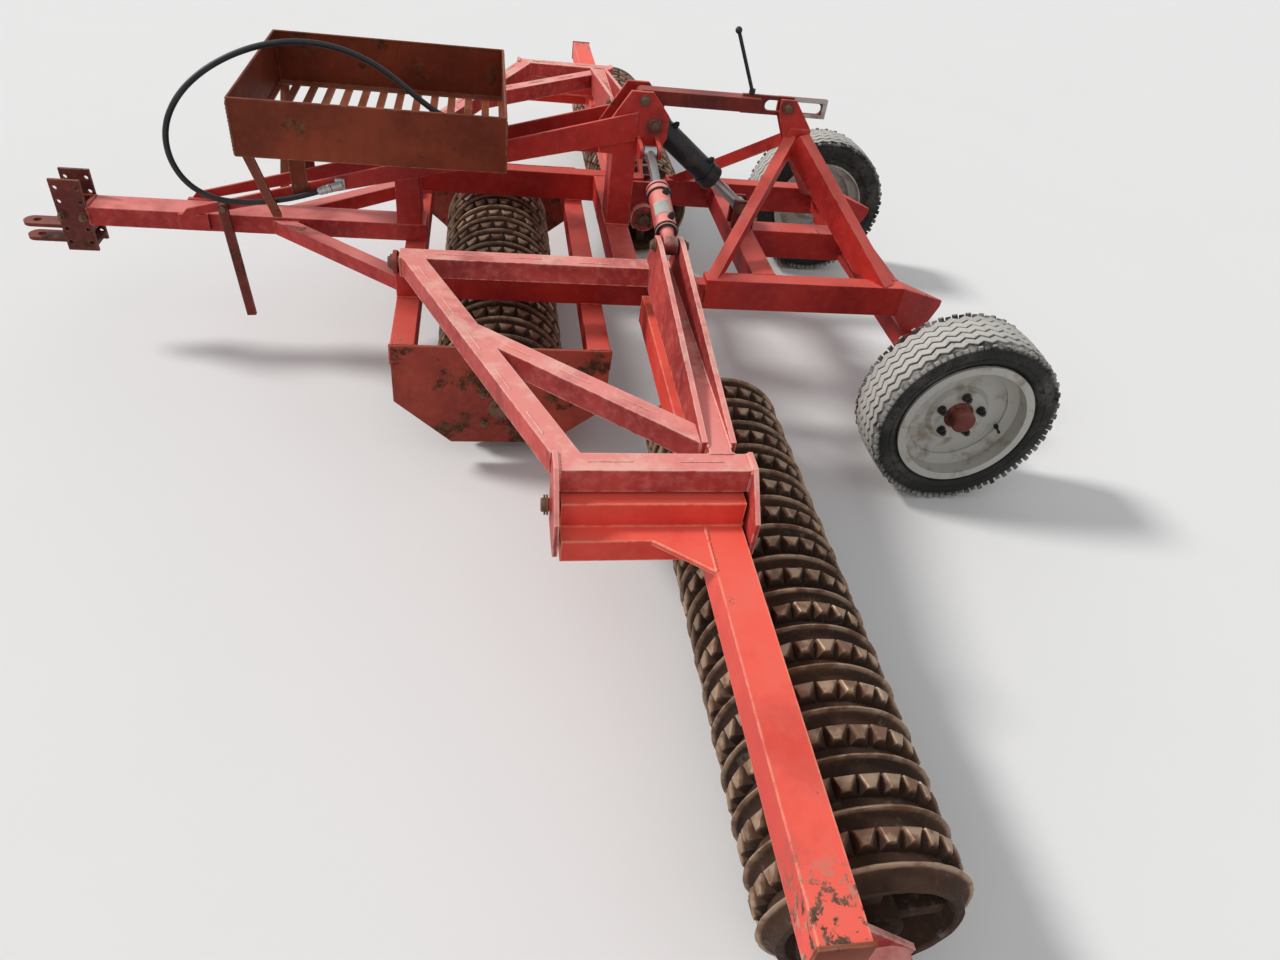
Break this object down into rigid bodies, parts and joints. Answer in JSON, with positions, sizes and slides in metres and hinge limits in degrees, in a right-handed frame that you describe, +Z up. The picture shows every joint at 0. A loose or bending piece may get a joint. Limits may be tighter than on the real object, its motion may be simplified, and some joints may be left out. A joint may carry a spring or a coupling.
{
  "type": "land roller",
  "caption": "Towed folding land roller with ring packs on a hinged three-section frame, a lifting wheel frame and a stone box over the drawbar.",
  "frame": {"origin": "on the ground under the middle of the machine's outline, midway between the ring packs and halfway along its length", "axes": "-X towards the tractor, +Y towards the machine's far wing, +Z up; near and far are as seen in the picture"},
  "size_m": [3.2479, 4.882, 1.166],
  "materials": {
    "frame_paint": "weathered red paint, sun-bleached on top and chipped to rust",
    "wing_paint": "faded red paint, bleached to salmon on top",
    "rusty_sheet": "old red paint, mostly brown rust",
    "cast_ring": "brown rust with rubbed bright crests",
    "tyre_rubber": "dusty grey rubber",
    "rim_paint": "dull off-white paint",
    "black_paint": "oily black paint",
    "rod_chrome": "polished",
    "plated_steel": "dull zinc grey",
    "hose_rubber": "dull black"
  },
  "bodies": {
    "frame": {"side_beams": "frame_paint", "cross_tubes": "frame_paint", "side_plate_near": "rusty_sheet", "side_plate_far": "rusty_sheet", "drawbar": "frame_paint", "hitch": "frame_paint", "front_post": "frame_paint", "tower": "frame_paint", "upper_brace_near": "frame_paint", "upper_brace_far": "frame_paint", "stone_box": "rusty_sheet", "box_supports": "rusty_sheet", "wing_lugs_near": "frame_paint", "wing_lugs_far": "frame_paint", "wheel_frame_hinges": "frame_paint", "stand_pin": "frame_paint", "hose": "hose_rubber", "hose_coupler": "plated_steel", "hose_clip": "plated_steel"},
    "centre_roller": {"roller_centre": "cast_ring"},
    "stand": {"parking_stand": "rusty_sheet"},
    "wheel_frame": {"rear_beam_near": "frame_paint", "rear_beam_far": "frame_paint", "wheel_frame_cross_beams": "frame_paint", "axle_beam": "frame_paint", "a_frame": "frame_paint", "lift_lever": "frame_paint"},
    "lift_barrel": {"lift_cylinder_barrel": "black_paint"},
    "lift_rod": {"lift_cylinder_rod": "rod_chrome"},
    "stay": {"lock_stay": "frame_paint", "stay_handle": "plated_steel"},
    "wing_near": {"wing_arm_near": "wing_paint", "wing_levers_near": "wing_paint", "pivot_plates_near": "wing_paint"},
    "gang_near": {"gang_beam_near": "wing_paint", "gang_brackets_near": "wing_paint"},
    "gang_roller_near": {"roller_near": "cast_ring"},
    "road_wheel_near": {"tyre_near": "tyre_rubber", "wheel_near": "rim_paint"},
    "wing_barrel_near": {"wing_cylinder_barrel_near": "wing_paint"},
    "wing_rod_near": {"wing_cylinder_rod_near": "rod_chrome"},
    "wing_far": {"wing_arm_far": "wing_paint", "wing_levers_far": "wing_paint", "pivot_plates_far": "wing_paint"},
    "gang_far": {"gang_beam_far": "wing_paint", "gang_brackets_far": "wing_paint"},
    "gang_roller_far": {"roller_far": "cast_ring"},
    "road_wheel_far": {"tyre_far": "tyre_rubber", "wheel_far": "rim_paint"},
    "wing_barrel_far": {"wing_cylinder_barrel_far": "wing_paint"},
    "wing_rod_far": {"wing_cylinder_rod_far": "rod_chrome"}
  },
  "joints": [
    {"name": "centre_roller_turn", "type": "hinge", "parent": "frame", "child": "centre_roller", "pos_m": [-0.105, 0, 0.205], "axis": [0, 1, 0], "continuous": true},
    {"name": "stand_swing", "type": "hinge", "parent": "frame", "child": "stand", "pos_m": [-0.983, -0.087, 0.516], "axis": [0, 1, 0], "range_deg": [0, 90]},
    {"name": "wheel_frame_lift", "type": "hinge", "parent": "frame", "child": "wheel_frame", "pos_m": [0.49, 0, 0.468], "axis": [0, 1, 0], "range_deg": [0, 13]},
    {"name": "lift_barrel_swing", "type": "hinge", "parent": "frame", "child": "lift_barrel", "pos_m": [0.385, 0, 0.866], "axis": [0, 1, 0], "range_deg": [0, 3.8]},
    {"name": "lift_rod_slide", "type": "slide", "parent": "lift_barrel", "child": "lift_rod", "axis": [0.7874, 0, -0.6164], "range_m": [0, 0.0545]},
    {"name": "stay_swing", "type": "hinge", "parent": "frame", "child": "stay", "pos_m": [0.345, 0, 0.94], "axis": [0, 1, 0], "range_deg": [0, 8.7]},
    {"name": "wing_fold_near", "type": "hinge", "parent": "frame", "child": "wing_near", "pos_m": [0, -0.546, 0.588], "axis": [-1, 0, 0], "range_deg": [-6, 90]},
    {"name": "gang_tilt_near", "type": "hinge", "parent": "wing_near", "child": "gang_near", "pos_m": [0.2, -1.505, 0.516], "axis": [-1, 0, 0], "range_deg": [-3, 3]},
    {"name": "gang_roller_turn_near", "type": "hinge", "parent": "gang_near", "child": "gang_roller_near", "pos_m": [0.536, -1.564, 0.205], "axis": [0, 1, 0], "continuous": true},
    {"name": "road_wheel_turn_near", "type": "hinge", "parent": "wheel_frame", "child": "road_wheel_near", "pos_m": [1.324, -0.815, 0.3], "axis": [0, 1, 0], "continuous": true},
    {"name": "wing_barrel_swing_near", "type": "hinge", "parent": "wing_near", "child": "wing_barrel_near", "pos_m": [0.365, -0.62, 0.715], "axis": [-1, 0, 0], "range_deg": [-107, 7.5]},
    {"name": "wing_rod_slide_near", "type": "slide", "parent": "wing_barrel_near", "child": "wing_rod_near", "axis": [0, 0.9825, 0.1863], "range_m": [-0.176, 0.013]},
    {"name": "wing_fold_far", "type": "hinge", "parent": "frame", "child": "wing_far", "pos_m": [0, 0.546, 0.588], "axis": [1, 0, 0], "range_deg": [-6, 90]},
    {"name": "gang_tilt_far", "type": "hinge", "parent": "wing_far", "child": "gang_far", "pos_m": [0.2, 1.505, 0.516], "axis": [1, 0, 0], "range_deg": [-3, 3]},
    {"name": "gang_roller_turn_far", "type": "hinge", "parent": "gang_far", "child": "gang_roller_far", "pos_m": [0.536, 1.564, 0.205], "axis": [0, 1, 0], "continuous": true},
    {"name": "road_wheel_turn_far", "type": "hinge", "parent": "wheel_frame", "child": "road_wheel_far", "pos_m": [1.324, 0.815, 0.3], "axis": [0, 1, 0], "continuous": true},
    {"name": "wing_barrel_swing_far", "type": "hinge", "parent": "wing_far", "child": "wing_barrel_far", "pos_m": [0.365, 0.62, 0.715], "axis": [1, 0, 0], "range_deg": [-107, 7.5]},
    {"name": "wing_rod_slide_far", "type": "slide", "parent": "wing_barrel_far", "child": "wing_rod_far", "axis": [0, -0.9825, 0.1863], "range_m": [-0.176, 0.013]}
  ],
  "couplings": [
    {"joint": "lift_barrel_swing", "follows": "wheel_frame_lift", "ratio": 0.2882},
    {"joint": "lift_rod_slide", "follows": "wheel_frame_lift", "m_per_rad": 0.23807},
    {"joint": "stay_swing", "follows": "wheel_frame_lift", "ratio": 0.6652},
    {"joint": "wing_barrel_swing_near", "follows": "wing_fold_near", "ratio": -1.1841},
    {"joint": "wing_rod_slide_near", "follows": "wing_fold_near", "m_per_rad": -0.11114},
    {"joint": "wing_barrel_swing_far", "follows": "wing_fold_far", "ratio": -1.1841},
    {"joint": "wing_rod_slide_far", "follows": "wing_fold_far", "m_per_rad": -0.11114}
  ]
}
